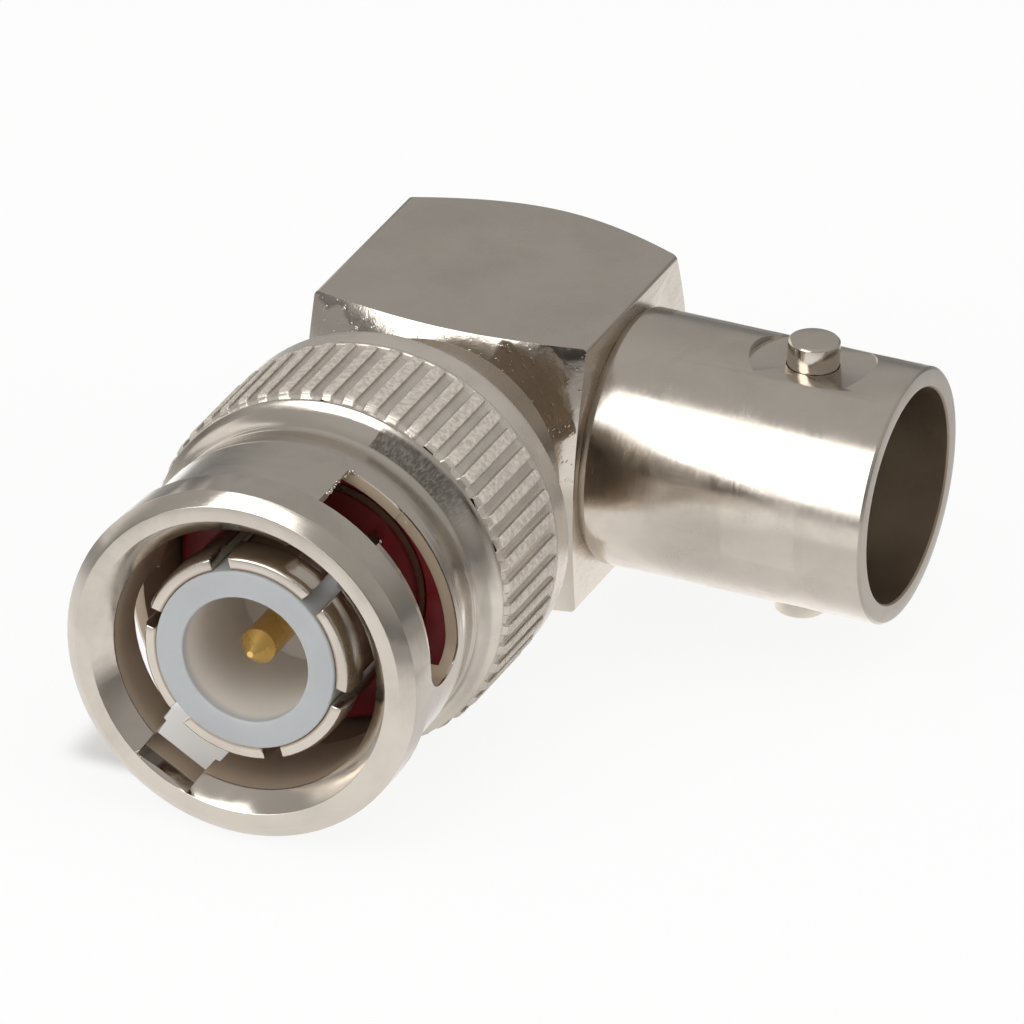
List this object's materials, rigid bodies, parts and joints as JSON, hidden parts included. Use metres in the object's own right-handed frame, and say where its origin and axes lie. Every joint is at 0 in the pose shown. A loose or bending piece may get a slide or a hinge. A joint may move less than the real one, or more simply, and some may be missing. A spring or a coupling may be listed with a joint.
{
  "type": "right-angle coaxial adapter",
  "caption": "Right-angle coaxial adapter: a bayonet plug with a knurled coupling nut, a square elbow block and a bayonet jack.",
  "frame": {"origin": "on the plug's axis, at the front edge of the contact ring on its spring fingers", "axes": "-Y out of the plug's mouth, +X the way the jack's mouth faces, +Z along the jack's upper bayonet pin"},
  "size_m": [0.0236, 0.0299, 0.0142],
  "materials": {
    "nickel": "bright nickel plate on brass",
    "nickel_satin": "satin nickel plate on brass",
    "gold": "gold plate",
    "white_insulator": "waxy, bluish white",
    "red_silicone": "satin",
    "steel": "rolled"
  },
  "bodies": {
    "body": {"angle_body": "nickel_satin", "rear_cap": "nickel", "plug_shell": "nickel", "plug_insulator": "white_insulator", "plug_pin": "gold", "plug_gasket": "red_silicone", "spring_washer": "steel", "jack_shell": "nickel", "bayonet_pin_top": "nickel", "bayonet_pin_bottom": "nickel", "jack_insulator": "white_insulator", "jack_contact": "gold"},
    "washer": {"thrust_washer": "steel"},
    "nut": {"coupling_nut": "nickel"}
  },
  "joints": [
    {"name": "nut_pull", "type": "slide", "parent": "body", "child": "washer", "axis": [0, -1, 0], "range_m": [0, 0.0004], "stiffness_N_per_m": 5000, "springref_m": -0.0004, "deforming": ["spring_washer"]},
    {"name": "nut_turn", "type": "hinge", "parent": "washer", "child": "nut", "pos_m": [0, 0.01013, 0], "axis": [0, 1, 0], "continuous": true}
  ]
}
